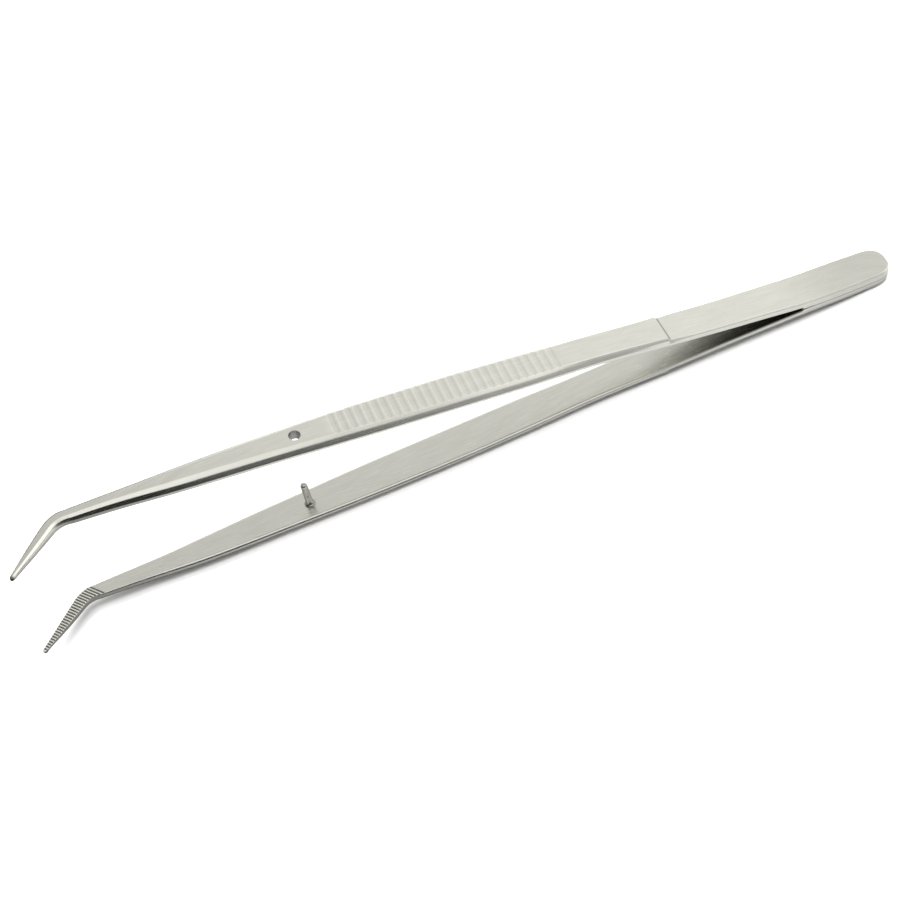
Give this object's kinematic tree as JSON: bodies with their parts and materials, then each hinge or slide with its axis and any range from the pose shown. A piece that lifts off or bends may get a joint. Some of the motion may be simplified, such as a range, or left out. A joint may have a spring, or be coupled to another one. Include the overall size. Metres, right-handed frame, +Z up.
{
  "type": "bent-tip guide-pin forceps",
  "caption": "Long slender steel spring forceps with ribbed grips, sideways bent serrated tips and a guide pin that enters a hole in the other arm.",
  "frame": {"origin": "middle of the bounding box, on the table the forceps lie on", "axes": "+X along the length toward the welded head, tips toward -X and bent to -Y, +Z up"},
  "size_m": [0.197, 0.0148, 0.032],
  "materials": {
    "upper_head_leaf": "satin brushed along the length",
    "lower_head_leaf": "satin brushed along the length",
    "upper_arm": "satin brushed along the length",
    "lower_arm": "satin brushed along the length",
    "guide_pin": "turned, smooth"
  },
  "bodies": {
    "head": {"upper_head_leaf": "upper_head_leaf", "lower_head_leaf": "lower_head_leaf"},
    "upper": {"upper_arm": "upper_arm"},
    "lower": {"lower_arm": "lower_arm", "guide_pin": "guide_pin"}
  },
  "joints": [
    {"name": "upper_flex", "type": "hinge", "parent": "head", "child": "upper", "pos_m": [0.06158, 0.00257, 0.00726], "axis": [0, -1, 0], "range_deg": [0, 4.64], "stiffness_Nm_per_rad": 4},
    {"name": "lower_flex", "type": "hinge", "parent": "head", "child": "lower", "pos_m": [0.06118, 0.00257, 0.00243], "axis": [0, 1, 0], "range_deg": [0, 4.64], "stiffness_Nm_per_rad": 4}
  ],
  "couplings": [
    {"joint": "lower_flex", "follows": "upper_flex", "ratio": 1}
  ]
}
